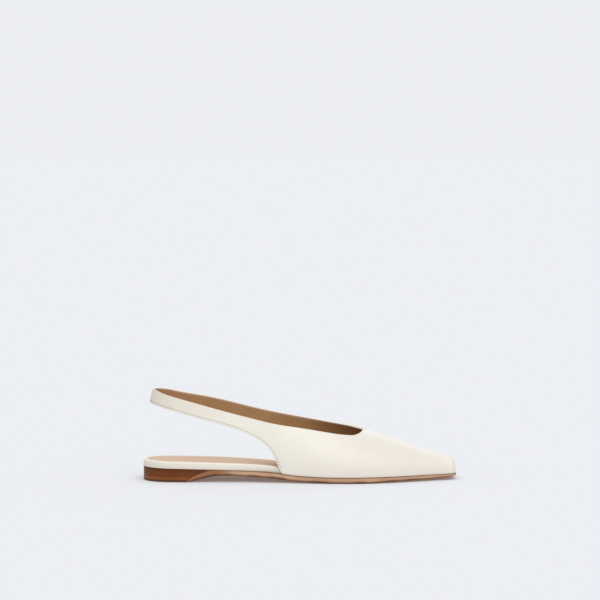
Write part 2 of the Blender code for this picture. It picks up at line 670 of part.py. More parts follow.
def make_upper():
    """Vamp, quarters and strap in one shell, open at the collar, the heel and underneath."""
    rows = [dict(row, count=sum(before["steps"] for before in COLUMNS[:i])) for i, row in enumerate(COLUMNS)]
    data = bmesh.new()
    for side in (LATERAL, MEDIAL):
        columns = []
        for number in range(rows[-1]["count"] + 1):
            low = float(through(rows, "count", "lower", number))
            high = float(through(rows, "count", "upper", number))
            low_girth = lower_edge(side, low)
            high_girth = upper_edge(side, high)
            column = []
            for share in np.linspace(0, 1, ROWS + 1):
                along = low + share * (high - low)
                girth = low_girth + share * (high_girth - low_girth)
                column.append(data.verts.new(rib_point(rib_shape(side, along), girth)))
            columns.append(column)
        for back, front in zip(columns, columns[1:]):
            for i in range(ROWS):
                corners = (back[i], front[i], front[i + 1], back[i + 1])
                data.faces.new(corners if side == LATERAL else corners[::-1])
    bmesh.ops.remove_doubles(data, verts=data.verts, dist=1e-6)
    upper = new_object("upper", data, (0.85, 0.81, 0.73), 0.4)
    wall = upper.modifiers.new("wall", "SOLIDIFY")
    wall.thickness = WALL
    wall.offset = -1
    wall.use_even_offset = True
    return upper


def main():
    for old in list(bpy.data.objects):
        bpy.data.objects.remove(old, do_unlink=True)
    parts = bpy.data.collections.new("sling_back_flat")
    bpy.context.scene.collection.children.link(parts)
    make_outsole()
    make_heel()
    make_top_piece()
    make_footbed()
    make_sock()
    make_upper()


main()
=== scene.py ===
import bmesh
import bpy
import math
import numpy as np
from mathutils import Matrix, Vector
from mathutils.bvhtree import BVHTree
from mathutils.kdtree import KDTree


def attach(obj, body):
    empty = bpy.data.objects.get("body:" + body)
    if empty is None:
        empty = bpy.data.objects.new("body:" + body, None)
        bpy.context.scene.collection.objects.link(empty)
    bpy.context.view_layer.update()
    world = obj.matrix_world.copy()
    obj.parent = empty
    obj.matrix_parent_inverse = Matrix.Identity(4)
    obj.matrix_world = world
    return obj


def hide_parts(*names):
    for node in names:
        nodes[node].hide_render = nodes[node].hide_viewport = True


# A cream sling back flat for the right foot, toe towards +X, outer side towards the camera.
# Every measure is in metres.

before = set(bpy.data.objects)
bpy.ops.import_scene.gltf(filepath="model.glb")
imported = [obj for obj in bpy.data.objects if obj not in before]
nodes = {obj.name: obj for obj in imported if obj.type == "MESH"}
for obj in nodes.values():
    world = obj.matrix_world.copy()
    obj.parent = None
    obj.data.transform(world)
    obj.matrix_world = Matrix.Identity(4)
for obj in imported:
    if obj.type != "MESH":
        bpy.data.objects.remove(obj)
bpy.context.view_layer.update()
print("frame loaded:", len(nodes), "nodes")


# Camera, light and floor

studio = {
    "cameraPlace": (0, -2.4, 0.298),
    "cameraTilt": 86.555,        # degrees up from straight down
    "cameraLens": 168.8,
    "backdrop": (0.838, 0.855, 0.890),
    "roomColour": (0.985, 0.992, 1.0),
    "roomLight": 0.73,           # light that comes from all round
    "lamps": [                   # name, strength, turn and width in degrees
        ("keyLight", 0.98, (34, 0, 18), 50),       # soft, from above
        ("frontLight", 0.44, (60, 0, 0), 60),      # weak, from behind the camera
        ("backLight", 0.34, (-56, 0, 0), 50),      # weak, from behind the shoe and in under its arch
    ],
    "floorSize": 60,
    "floorRough": 0.9,
    "floorColour": (0.609, 0.657, 0.704),
    "floorGlow": (0.168, 0.131, 0.113),            # what the pale table gives back into the shadows
}


def deselectAll():
    for thing in bpy.context.selected_objects:
        thing.select_set(False)


def pickOnly(thing):
    deselectAll()
    thing.select_set(True)
    bpy.context.view_layer.objects.active = thing


def makeStudio():
    camera = bpy.data.cameras.new("camera")
    camera.lens = studio["cameraLens"]
    cameraObject = bpy.data.objects.new("camera", camera)
    cameraObject.location = studio["cameraPlace"]
    cameraObject.rotation_euler = (math.radians(studio["cameraTilt"]), 0, 0)
    bpy.context.scene.collection.objects.link(cameraObject)
    bpy.context.scene.camera = cameraObject

    world = bpy.data.worlds.new("room")
    world.use_nodes = True
    bpy.context.scene.world = world
    tree = world.node_tree
    tree.nodes.clear()
    seen = tree.nodes.new("ShaderNodeBackground")
    seen.inputs["Color"].default_value = (*studio["backdrop"], 1)
    room = tree.nodes.new("ShaderNodeBackground")
    room.inputs["Color"].default_value = (*studio["roomColour"], 1)
    room.inputs["Strength"].default_value = studio["roomLight"]
    rays = tree.nodes.new("ShaderNodeLightPath")
    mix = tree.nodes.new("ShaderNodeMixShader")
    out = tree.nodes.new("ShaderNodeOutputWorld")
    tree.links.new(rays.outputs["Is Camera Ray"], mix.inputs[0])
    tree.links.new(room.outputs[0], mix.inputs[1])
    tree.links.new(seen.outputs[0], mix.inputs[2])
    tree.links.new(mix.outputs[0], out.inputs[0])

    for name, strength, turn, width in studio["lamps"]:
        lamp = bpy.data.lights.new(name, "SUN")
        lamp.energy = strength
        lamp.angle = math.radians(width)
        lampObject = bpy.data.objects.new(name, lamp)
        lampObject.rotation_euler = [math.radians(turned) for turned in turn]
        bpy.context.scene.collection.objects.link(lampObject)

    deselectAll()
    bpy.ops.mesh.primitive_plane_add(size=studio["floorSize"], location=(0, 0, 0))
    floor = bpy.context.object
    floor.name = "floor"
    paper = bpy.data.materials.new("paper")
    paper.use_nodes = True
    shader = paper.node_tree.nodes["Principled BSDF"]
    shader.inputs["Base Color"].default_value = (*studio["floorColour"], 1)
    shader.inputs["Roughness"].default_value = studio["floorRough"]
    shader.inputs["Specular IOR Level"].default_value = 0.0
    shader.inputs["Emission Color"].default_value = (*studio["floorGlow"], 1)
    shader.inputs["Emission Strength"].default_value = 1.0
    floor.data.materials.append(paper)

    scene = bpy.context.scene
    scene.view_settings.view_transform = "Standard"
    scene.view_settings.look = "None"
    print("studio ready")


makeStudio()


# Leather finishes, which share one node group

grainLook = {
    "wanderScale": 420.0,        # slow waves that keep the pores out of rows
    "wanderReach": 0.0006,
    "poreSoftness": 0.6,
    "foldScale": 0.35,           # the folds' scale as a share of the pores'
    "foldRough": 0.6,
    "patchRough": 0.55,
    "patchSpan": (0.35, 0.65),   # the part of the patches' noise that turns from colour to shade
    "roughSwing": (-0.05, 0.07),
    "coatRough": 0.35,
}


def newGroup(name, inputs, outputs):
    group = bpy.data.node_groups.new(name, "ShaderNodeTree")
    for label, value in inputs:
        socket = group.interface.new_socket(name=label, in_out="INPUT", socket_type="NodeSocketFloat")
        socket.default_value = value
    for label in outputs:
        group.interface.new_socket(name=label, in_out="OUTPUT", socket_type="NodeSocketFloat")
    return group, group.nodes.new("NodeGroupInput"), group.nodes.new("NodeGroupOutput")


def addNode(tree, kind, values=None, **settings):
    node = tree.nodes.new(kind)
    for key, value in settings.items():
        setattr(node, key, value)
    for key, value in (values or {}).items():
        node.inputs[key].default_value = value
    return node


def makeGrainGroup():
    # Pores and fine folds of leather, and the slow change of tone over a hide
    group, start, end = newGroup(
        "leatherGrain",
        [("Grain per metre", 1600.0), ("Fold share", 0.35), ("Patch per metre", 30.0)],
        ["Height", "Tone"],
    )
    tree, link = group, group.links.new
    place = addNode(tree, "ShaderNodeTexCoord")
    wander = addNode(tree, "ShaderNodeTexNoise", {"Scale": grainLook["wanderScale"], "Detail": 2.0})
    stray = addNode(tree, "ShaderNodeVectorMath", operation="MULTIPLY_ADD")
    stray.inputs[1].default_value = [grainLook["wanderReach"]] * 3
    pores = addNode(tree, "ShaderNodeTexVoronoi", feature="SMOOTH_F1")
    pores.inputs["Smoothness"].default_value = grainLook["poreSoftness"]
    folds = addNode(tree, "ShaderNodeTexNoise", {"Detail": 4.0, "Roughness": grainLook["foldRough"]})
    foldScale = addNode(tree, "ShaderNodeMath", {1: grainLook["foldScale"]}, operation="MULTIPLY")
    patches = addNode(tree, "ShaderNodeTexNoise", {"Detail": 3.0, "Roughness": grainLook["patchRough"]})
    blend = addNode(tree, "ShaderNodeMix", data_type="FLOAT")
    link(place.outputs["Object"], wander.inputs["Vector"])
    link(wander.outputs["Color"], stray.inputs[0])
    link(place.outputs["Object"], stray.inputs[2])
    link(stray.outputs[0], pores.inputs["Vector"])
    link(start.outputs["Grain per metre"], pores.inputs["Scale"])
    link(start.outputs["Grain per metre"], foldScale.inputs[0])
    link(foldScale.outputs[0], folds.inputs["Scale"])
    link(place.outputs["Object"], folds.inputs["Vector"])
    link(place.outputs["Object"], patches.inputs["Vector"])
    link(start.outputs["Patch per metre"], patches.inputs["Scale"])
    link(start.outputs["Fold share"], blend.inputs[0])
    link(pores.outputs["Distance"], blend.inputs[2])
    link(folds.outputs["Fac"], blend.inputs[3])
    link(blend.outputs[0], end.inputs["Height"])
    link(patches.outputs["Fac"], end.inputs["Tone"])
    return group


grainGroup = makeGrainGroup()


def leatherFinish(name, look):
    # look: colour, shade (of its patches), rough, grain and patch (both per metre), fold (its share
    # in the grain), depth (of the grain), coat and gloss; under bands, colour is white
    made = bpy.data.materials.new(name)
    made.use_nodes = True
    tree, link = made.node_tree, made.node_tree.links.new
    shader = tree.nodes["Principled BSDF"]
    grain = addNode(tree, "ShaderNodeGroup", node_tree=grainGroup)
    grain.inputs["Grain per metre"].default_value = look["grain"]
    grain.inputs["Fold share"].default_value = look["fold"]
    grain.inputs["Patch per metre"].default_value = look["patch"]
    low, high = grainLook["patchSpan"]
    spread = addNode(tree, "ShaderNodeMapRange", {"From Min": low, "From Max": high})
    colour = addNode(tree, "ShaderNodeMix", data_type="RGBA")
    colour.inputs[6].default_value = (*look["colour"], 1)
    colour.inputs[7].default_value = (*look["shade"], 1)
    smoother, rougher = [look["rough"] + swing for swing in grainLook["roughSwing"]]
    rough = addNode(tree, "ShaderNodeMapRange", {"To Min": smoother, "To Max": rougher})
    bump = addNode(tree, "ShaderNodeBump", {"Strength": 1.0, "Distance": look["depth"]})
    link(grain.outputs["Tone"], spread.inputs["Value"])
    link(spread.outputs[0], colour.inputs[0])
    link(colour.outputs[2], shader.inputs["Base Color"])
    link(grain.outputs["Height"], rough.inputs["Value"])
    link(rough.outputs[0], shader.inputs["Roughness"])
    link(grain.outputs["Height"], bump.inputs["Height"])
    link(bump.outputs[0], shader.inputs["Normal"])
    shader.inputs["Coat Weight"].default_value = look["coat"]
    shader.inputs["Coat Roughness"].default_value = grainLook["coatRough"]
    shader.inputs["Specular IOR Level"].default_value = look["gloss"]
    return made, colour


def fillRamp(ramp, stops):
    while len(ramp.color_ramp.elements) < len(stops):
        ramp.color_ramp.elements.new(0.5)
    for element, (place, tone) in zip(ramp.color_ramp.elements, stops):
        element.position = place
        element.color = tone


# Help with meshes

meshHelp = {
    "mergeDistance": 1e-6,
    "quadFold": 50,              # degrees by which the two halves of a four-sided face may fold
    "quadSkew": 60,              # degrees by which its corners may differ from right angles
    "meetingGap": 0.00027,       # a little less than the clearance between the solids
    "restingSlope": 0.6,         # a face that looks down more than this rests on what is below
    "plateSlope": 0.75,          # the same for the upper and the lower face of a plate
    "thinnest": 1e-5,            # least thickness of a plate
    "curveSteps": 8,             # between two points of a path
}


def copyNode(node, name):
    # The CAD node's triangles as one merged mesh of mostly four-sided faces
    mesh = nodes[node].data.copy()
    mesh.name = name
    mesh.materials.clear()
    made = bpy.data.objects.new(name, mesh)
    bpy.context.scene.collection.objects.link(made)
    pickOnly(made)
    bpy.ops.object.mode_set(mode="EDIT")
    bpy.ops.mesh.select_all(action="SELECT")
    bpy.ops.mesh.remove_doubles(threshold=meshHelp["mergeDistance"])
    bpy.ops.mesh.tris_convert_to_quads(
        face_threshold=math.radians(meshHelp["quadFold"]), shape_threshold=math.radians(meshHelp["quadSkew"]))
    bpy.ops.mesh.faces_shade_smooth()
    bpy.ops.mesh.mark_sharp(clear=True)
    bpy.ops.object.mode_set(mode="OBJECT")
    return made


def meetBelow(mesh, slot=0, fromX=-1.0):
    # Faces of a slot that look down, from a place along X on, move down onto what carries them
    slope = meshHelp["restingSlope"]
    resting = set()
    for face in mesh.polygons:
        if face.material_index == slot and face.normal.z < -slope and face.center.x > fromX:
            resting.update(face.vertices)
    for i in resting:
        mesh.vertices[i].co.z -= meshHelp["meetingGap"]


def roundEdges(thing, look, segments=2):
    bevel = thing.modifiers.new("roundedEdge", "BEVEL")
    bevel.width = look["edgeRound"]
    bevel.segments = segments
    bevel.limit_method = "ANGLE"
    bevel.angle_limit = math.radians(look["edgeAngle"])


def applyModifiers(thing):
    pickOnly(thing)
    for modifier in list(thing.modifiers):
        bpy.ops.object.modifier_apply(modifier=modifier.name)


def surfaceTree(mesh, slot):
    faces = [list(face.vertices) for face in mesh.polygons if face.material_index == slot]
    return BVHTree.FromPolygons([vertex.co for vertex in mesh.vertices], faces)


def evenPoints(points, spacing, closed):
    # The same path as a smooth curve, with points a fixed distance apart
    points = np.array(points, float)
    fine = []
    count = len(points)
    for i in range(count if closed else count - 1):
        near = [i - 1, i, i + 1, i + 2]
        a, b, c, d = [points[k % count if closed else min(max(k, 0), count - 1)] for k in near]
        for t in np.linspace(0, 1, meshHelp["curveSteps"], endpoint=False):
            first = (c - a) * t
            second = (2 * a - 5 * b + 4 * c - d) * t**2
            third = (3 * b - a - 3 * c + d) * t**3
            fine.append(0.5 * (2 * b + first + second + third))
    fine.append(points[0] if closed else points[-1])
    fine = np.array(fine)
    run = np.concatenate([[0], np.cumsum(np.linalg.norm(np.diff(fine, axis=0), axis=1))])
    number = max(2, round(run[-1] / spacing))
    at = np.linspace(0, run[-1], number + 1)
    return np.column_stack([np.interp(at, run, fine[:, axis]) for axis in range(3)])


# Upper: cream leather outside, tan lining inside, folded edges

upperLook = {
    "edgeRound": 0.0005,
    "edgeAngle": 50,
    "sideAngle": 50,             # degrees of fold between two sides of the shell
    "rimStep": 0.0002,           # between the places that distances from the rim are measured to
    "cornerX": -0.0154,          # where the quarters meet the sole
    "skinEdge": [                # distance from the rim and the tone there
        (0.0000, (1.00, 0.99, 0.98, 1)),
        (0.0006, (0.99, 0.98, 0.97, 1)),
        (0.0009, (0.95, 0.94, 0.92, 1)),
        (0.0012, (0.98, 0.98, 0.97, 1)),
        (0.0016, (1.00, 1.00, 1.00, 1)),
    ],
    "liningEdge": [              # the skin folded over the edge: its tone and how much it hides
        (0.0000, (0.760, 0.620, 0.500, 1.0)),
        (0.0006, (0.680, 0.500, 0.370, 0.9)),
        (0.0012, (0.480, 0.320, 0.200, 0.4)),
        (0.0018, (0.370, 0.210, 0.100, 0.0)),
    ],
    # Painted shade: deeper tones from one place along X to another, "sides" only that far off the middle
    # painted shade on the back of the strap, which turns away from the light
    "strapPaintedShade": {"from": -0.06, "to": -0.13, "tone": (0.85, 0.83, 0.80)},
    # painted shade towards the toe and down the vamp's sides, leaving its crown light
    "toePaintedShade": {"from": -0.01, "to": 0.05, "sides": (0.003, 0.014), "tone": (0.94, 0.935, 0.945)},
    # painted shade on the lining, deeper towards the throat inside the shoe
    "throatPaintedShade": {"from": -0.13, "to": 0.02, "tone": (0.62, 0.49, 0.33)},
    "skin": {"colour": (0.793, 0.748, 0.660), "shade": (0.773, 0.725, 0.634), "rough": 0.40, "grain": 2600,
             "fold": 0.45, "patch": 26, "depth": 0.00004, "coat": 0.06, "gloss": 0.5},
    "edge": {"colour": (0.830, 0.785, 0.690), "shade": (0.800, 0.750, 0.650), "rough": 0.38, "grain": 2600,
             "fold": 0.45, "patch": 60, "depth": 0.00003, "coat": 0.10, "gloss": 0.6},
    "lining": {"colour": (0.370, 0.205, 0.092), "shade": (0.338, 0.182, 0.078), "rough": 0.62, "grain": 1500,
               "fold": 0.40, "patch": 45, "depth": 0.00008, "coat": 0.0, "gloss": 0.2},
}


def rimLoops(data, slots, side):
    # Where one side of the shell ends, as ordered loops of places, the highest loop first
    after = {}
    for edge in data.edges:
        sides = [slots[face.index] for face in edge.link_faces]
        if sides.count(side) == 1:
            a, b = [vertex.index for vertex in edge.verts]
            after.setdefault(a, []).append(b)
            after.setdefault(b, []).append(a)
    places = [vertex.co.copy() for vertex in data.verts]
    loops, left = [], set(after)
    while left:
        start = next(iter(left))
        loop, now = [], start
        while now is not None:
            loop.append(now)
            left.discard(now)
            now = next((other for other in after[now] if other in left), None)
        loops.append([places[i] for i in loop])
    loops.sort(key=lambda loop: -sum(place.z for place in loop) / len(loop))
    return loops


def splitShell(mesh):
    # Faces of the shell by side: 0 outside, 1 inside, 2 the edges between them; and the two
    # rims of the outside and of the inside as ordered loops, the topline first
    data = bmesh.new()
    data.from_mesh(mesh)
    data.faces.ensure_lookup_table()
    sideAngle = math.radians(upperLook["sideAngle"])
    group = [-1] * len(data.faces)
    areas = []
    for first in data.faces:
        if group[first.index] >= 0:
            continue
        number = len(areas)
        area, todo = 0.0, [first]
        group[first.index] = number
        while todo:
            face = todo.pop()
            area += face.calc_area()
            for edge in face.edges:
                if len(edge.link_faces) == 2 and edge.calc_face_angle(0) < sideAngle:
                    for other in edge.link_faces:
                        if group[other.index] < 0:
                            group[other.index] = number
                            todo.append(other)
        areas.append(area)
    order = sorted(range(len(areas)), key=lambda number: -areas[number])
    slots = [{order[0]: 0, order[1]: 1}.get(number, 2) for number in group]
    rims = [rimLoops(data, slots, side) for side in (0, 1)]
    data.free()
    return slots, *rims


def densePath(points, spacing):
    # Points along a closed loop, close enough together to measure distances from it
    points = np.array(points, float)
    closed = np.vstack([points, points[:1]])
    run = np.concatenate([[0], np.cumsum(np.linalg.norm(np.diff(closed, axis=0), axis=1))])
    at = np.arange(0, run[-1], spacing)
    return np.column_stack([np.interp(at, run, closed[:, axis]) for axis in range(3)])


def measureFromRims(mesh, outer, inner):
    # How far each point lies from the rim of its own side, stored for the finishes
    trees = []
    for loops in (outer, inner):
        places = np.vstack([densePath(loop, upperLook["rimStep"]) for loop in loops])
        tree = KDTree(len(places))
        for number, place in enumerate(places):
            tree.insert(place, number)
        tree.balance()
        trees.append(tree)
    onLining = {i for face in mesh.polygons if face.material_index == 1 for i in face.vertices}
    distance = [trees[i in onLining].find(vertex.co)[2] for i, vertex in enumerate(mesh.vertices)]
    stored = mesh.attributes.new("fromRim", "FLOAT", "POINT")
    stored.data.foreach_set("value", np.array(distance, np.float32))


def edgeTone(finish, colour, stops, blend):
    # Changes a leather's colour by its distance from the rim
    tree, link = finish.node_tree, finish.node_tree.links.new
    shader = tree.nodes["Principled BSDF"]
    distance = addNode(tree, "ShaderNodeAttribute", attribute_name="fromRim")
    reach = stops[-1][0]
    share = addNode(tree, "ShaderNodeMath", {1: reach}, operation="DIVIDE", use_clamp=True)
    ramp = addNode(tree, "ShaderNodeValToRGB")
    fillRamp(ramp, [(place / reach, tone) for place, tone in stops])
    mix = addNode(tree, "ShaderNodeMix", data_type="RGBA", blend_type=blend)
    link(distance.outputs["Fac"], share.inputs[0])
    link(share.outputs[0], ramp.inputs[0])
    if blend == "MULTIPLY":
        mix.inputs[0].default_value = 1.0
    else:
        link(ramp.outputs["Alpha"], mix.inputs[0])
    link(colour.outputs[2], mix.inputs[6])
    link(ramp.outputs[0], mix.inputs[7])
    link(mix.outputs[2], shader.inputs["Base Color"])


def deepenAlong(finish, colour, look):
    # Deepens a finish along the shoe, as the painted shade of the lining towards the throat, or its sides
    # alone
    tree, link = finish.node_tree, finish.node_tree.links.new
    place = addNode(tree, "ShaderNodeTexCoord")
    split = addNode(tree, "ShaderNodeSeparateXYZ")
    forward = addNode(tree, "ShaderNodeMapRange", {"From Min": look["from"], "From Max": look["to"]})
    mix = addNode(tree, "ShaderNodeMix", data_type="RGBA", blend_type="MULTIPLY")
    mix.inputs[7].default_value = (*look["tone"], 1)
    target = colour.outputs[2].links[0].to_socket
    link(place.outputs["Object"], split.inputs[0])
    link(split.outputs["X"], forward.inputs["Value"])
    share = forward
    if "sides" in look:
        aside = addNode(tree, "ShaderNodeMath", operation="ABSOLUTE")
        near, far = look["sides"]
        outward = addNode(tree, "ShaderNodeMapRange", {"From Min": near, "From Max": far})
        share = addNode(tree, "ShaderNodeMath", operation="MULTIPLY")
        link(split.outputs["Y"], aside.inputs[0])
        link(aside.outputs[0], outward.inputs["Value"])
        link(forward.outputs[0], share.inputs[0])
        link(outward.outputs[0], share.inputs[1])
    link(share.outputs[0], mix.inputs[0])
    link(colour.outputs[2], mix.inputs[6])
    link(mix.outputs[2], target)


def makeUpper():
    piece = copyNode("upper", "upperSkin")
    slots, loops, innerLoops = splitShell(piece.data)
    print("upper: faces", len(slots), "rims", [len(loop) for loop in loops])
    skin, skinColour = leatherFinish("creamLeather", upperLook["skin"])
    lining, liningColour = leatherFinish("tanLining", upperLook["lining"])
    edge, _ = leatherFinish("creamEdge", upperLook["edge"])
    for finish in (skin, lining, edge):
        piece.data.materials.append(finish)
    for face, slot in zip(piece.data.polygons, slots):
        face.material_index = slot
    meetBelow(piece.data, 2, upperLook["cornerX"])
    roundEdges(piece, upperLook, 3)
    smooth = piece.modifiers.new("smooth", "SUBSURF")
    smooth.levels = 1
    smooth.render_levels = 1
    applyModifiers(piece)
    measureFromRims(piece.data, loops, innerLoops)
    edgeTone(skin, skinColour, upperLook["skinEdge"], "MULTIPLY")
    deepenAlong(skin, skinColour, upperLook["strapPaintedShade"])
    deepenAlong(skin, skinColour, upperLook["toePaintedShade"])
    deepenAlong(lining, liningColour, upperLook["throatPaintedShade"])
    edgeTone(lining, liningColour, upperLook["liningEdge"], "MIX")
    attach(piece, "root")
    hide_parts("upper")
    return piece, loops, innerLoops


upperSkin, upperRims, liningRims = makeUpper()
print("upper dressed:", len(upperSkin.data.polygons), "faces")


# Stitches: a thread between two pricked holes, laid along the edges of the leather; the holes' shade is
# painted on dark discs

stitchLook = {
    "pitch": 0.0023,
    "threadLength": 0.0012,
    "threadRadius": 0.00022,
    "threadFlat": 0.8,           # height of the thread as a share of its width
    "holeRadius": 0.00045,
    "holeTaper": 0.6,            # its upper radius as a share of the lower
    "holeHeight": 0.00006,       # half the height of its dark disc
    "holeLift": 0.6,             # how much of that the disc is lifted by
    "sink": 0.00004,             # how far thread and disc then lie below the surface
    "easing": 6,
    "thread": (0.70, 0.66, 0.57),
    "threadRough": 0.6,
    # painted shade down in the pricked holes
    "holeShadeDisc": (0.030, 0.028, 0.020),
    "holeRough": 0.8,
    "speckle": (0.82, 1.12),     # shares of the tone
    "speckleScale": 2500.0,
    "rearInset": 0.0021,         # from the lower edge of strap and quarter
    "liningInset": 0.0024,       # from the topline, on the lining
}


def plainFinish(name, colour, rough):
    made = bpy.data.materials.new(name)
    made.use_nodes = True
    tree, link = made.node_tree, made.node_tree.links.new
    shader = tree.nodes["Principled BSDF"]
    place = addNode(tree, "ShaderNodeTexCoord")
    speckle = addNode(tree, "ShaderNodeTexNoise", {"Scale": stitchLook["speckleScale"], "Detail": 2.0})
    tone = addNode(tree, "ShaderNodeMix", data_type="RGBA")
    dark, light = stitchLook["speckle"]
    tone.inputs[6].default_value = (*[dark * part for part in colour], 1)
    tone.inputs[7].default_value = (*[light * part for part in colour], 1)
    link(place.outputs["Object"], speckle.inputs["Vector"])
    link(speckle.outputs["Fac"], tone.inputs[0])
    link(tone.outputs[2], shader.inputs["Base Color"])
    shader.inputs["Roughness"].default_value = rough
    return made


def makeStitchPattern():
    # One stitch along X: a thread with rounded ends and a disc of painted shade where it goes down into its
    # hole
    deselectAll()
    bpy.ops.mesh.primitive_uv_sphere_add(segments=8, ring_count=6, radius=stitchLook["threadRadius"])
    thread = bpy.context.object
    bpy.ops.object.mode_set(mode="EDIT")
    bpy.ops.mesh.select_all(action="SELECT")
    stretch = stitchLook["threadLength"] / 2 / stitchLook["threadRadius"]
    bpy.ops.transform.resize(value=(stretch, 1.0, stitchLook["threadFlat"]))
    bpy.ops.object.mode_set(mode="OBJECT")
    deselectAll()
    bpy.ops.mesh.primitive_cone_add(
        vertices=10, radius1=stitchLook["holeRadius"],
        radius2=stitchLook["holeRadius"] * stitchLook["holeTaper"],
        depth=stitchLook["holeHeight"] * 2, location=(stitchLook["pitch"] / 2, 0, 0))
    holeShadeDisc = bpy.context.object
    pickOnly(holeShadeDisc)
    bpy.ops.object.transform_apply(location=True, rotation=True, scale=True)
    return thread, holeShadeDisc


def stitchSpots(path, surface, inset, closed):
    # Places on a surface at a distance from an edge, each with the surface's normal and the way on
    points = evenPoints(path, stitchLook["pitch"], closed)
    places = []
    for before, after in zip(points, points[1:]):
        middle = Vector((before + after) / 2)
        _, normal, _, _ = surface.find_nearest(middle)
        across = normal.cross(Vector(after - before)).normalized()
        choices = [surface.find_nearest(middle + side * inset * across)[0] for side in (-1, 1)]
        places.append(min(choices, key=lambda found: abs((found - middle).length - inset)))
    # The row is eased, because the faces beside the rim turn in small steps
    places = np.array(places)
    for _ in range(stitchLook["easing"]):
        if closed:
            around = np.roll(places, 1, axis=0) + np.roll(places, -1, axis=0)
            places = places / 2 + around / 4
        else:
            places[1:-1] = places[1:-1] / 2 + (places[:-2] + places[2:]) / 4
    spots = []
    for number, middle in enumerate(places):
        if closed or number + 1 < len(places):
            along = Vector(places[(number + 1) % len(places)] - middle)
        else:
            along = Vector(middle - places[number - 1])
        place, normal, _, _ = surface.find_nearest(Vector(middle))
        spots.append((place, normal, along.normalized()))
    return spots


def sewRow(name, path, surface, inset, closed):
    # Copies of thread and painted-shade disc along a row, the discs raised just over the surface
    thread, holeShadeDisc = makeStitchPattern()
    spots = stitchSpots(path, surface, inset, closed)
    holeLift = stitchLook["holeHeight"] * stitchLook["holeLift"]
    data = bmesh.new()
    for source, slot, lift in ((thread, 0, 0.0), (holeShadeDisc, 1, holeLift)):
        verts = [vertex.co.copy() for vertex in source.data.vertices]
        faces = [list(face.vertices) for face in source.data.polygons]
        for place, normal, along in spots:
            along = (along - along.dot(normal) * normal).normalized()
            across = normal.cross(along)
            made = []
            for co in verts:
                height = co.z + lift - stitchLook["sink"]
                made.append(data.verts.new(place + along * co.x + across * co.y + normal * height))
            for face in faces:
                data.faces.new([made[i] for i in face]).material_index = slot
    mesh = bpy.data.meshes.new(name)
    data.to_mesh(mesh)
    data.free()
    for source in (thread, holeShadeDisc):
        bpy.data.objects.remove(source, do_unlink=True)
    piece = bpy.data.objects.new(name, mesh)
    bpy.context.scene.collection.objects.link(piece)
    mesh.shade_smooth()
    mesh.materials.append(threadFinish)
    mesh.materials.append(holeShadeFinish)
    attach(piece, "root")


threadFinish = plainFinish("thread", stitchLook["thread"], stitchLook["threadRough"])
# the dark discs' finish is painted shade
holeShadeFinish = plainFinish("prickedHoleShade", stitchLook["holeShadeDisc"], stitchLook["holeRough"])


def rearPath(rim):
    # The part of the lower rim behind the corners where the quarters meet the sole
    behind = [place.x < upperLook["cornerX"] for place in rim]
    start = next(i for i in range(len(rim)) if behind[i] and not behind[i - 1])
    turned = rim[start:] + rim[:start]
    return [place for place in turned if place.x < upperLook["cornerX"]]


skinTree = surfaceTree(upperSkin.data, 0)
liningTree = surfaceTree(upperSkin.data, 1)
sewRow("rearStitches", rearPath(upperRims[1]), skinTree, stitchLook["rearInset"], False)
sewRow("liningStitches", liningRims[0], liningTree, stitchLook["liningInset"], True)
print("stitches sewn")


# Sole: its side is inked and burnished, with a darker line along its top edge and painted shade in bands low
# down, where its rounded edge turns under

soleLook = {
    "breastShade": {"from": -0.056, "to": -0.070, "tone": (0.60, 0.39, 0.23)},
    "breastGap": 0.00034,
    "breastEnd": -0.0740,        # the leaf down the heel's breast lies behind this
    "leafNormal": (-0.15, 0.3),  # its face looks further back (X) and further up (Z) than this
    "underSlope": 0.85,          # a face that looks down more than this is the underside
    "edgeRound": 0.0004,
    "edgeAngle": 28,
    "side": {"colour": (1, 1, 1), "shade": (0.80, 0.78, 0.76), "rough": 0.42, "grain": 1300,
             "fold": 0.60, "patch": 70, "depth": 0.00005, "coat": 0.06, "gloss": 0.35},
    # the dark lower bands are painted shade where the rounded edge turns under; the tan between is the inked
    # edge
    "bandsAndPaintedLight": [                   # height up the side, from 0 to 1, and the tone there
        (0.00, (0.060, 0.030, 0.018)),
        (0.16, (0.120, 0.058, 0.032)),
        (0.32, (0.330, 0.180, 0.105)),
        (0.42, (0.530, 0.320, 0.195)),
        (0.78, (0.540, 0.325, 0.200)),
        (0.88, (0.420, 0.225, 0.130)),
        (0.95, (0.260, 0.125, 0.065)),
        (1.00, (0.160, 0.070, 0.036)),
    ],
    "under": {"colour": (0.300, 0.160, 0.085), "shade": (0.240, 0.120, 0.062), "rough": 0.55, "grain": 900,
              "fold": 0.70, "patch": 55, "depth": 0.00007, "coat": 0.0, "gloss": 0.3},
}


def faceLine(mesh, sign, across):
    # Height of a plate's lower (-1) or upper face (1) at some places along X
    slope = meshHelp["plateSlope"]
    chosen = {i for face in mesh.polygons if sign * face.normal.z > slope for i in face.vertices}
    points = np.array(sorted((round(mesh.vertices[i].co.x, 5), mesh.vertices[i].co.z) for i in chosen))
    return np.interp(across, points[:, 0], points[:, 1])


def heightUp(piece, thickness=None):
    # How far up its side each point of a plate lies, from 0 at its lower to 1 at its upper
    # face or at a given thickness
    mesh = piece.data
    across = [vertex.co.x for vertex in mesh.vertices]
    height = np.array([vertex.co.z for vertex in mesh.vertices])
    low = faceLine(mesh, -1, across)
    high = low + thickness if thickness else faceLine(mesh, 1, across)
    share = np.clip((height - low) / np.maximum(high - low, meshHelp["thinnest"]), 0, 1)
    stored = mesh.attributes.new("heightUp", "FLOAT", "POINT")
    stored.data.foreach_set("value", share.astype(np.float32))


def storedHeight(finish):
    return addNode(finish.node_tree, "ShaderNodeAttribute", attribute_name="heightUp").outputs["Fac"]


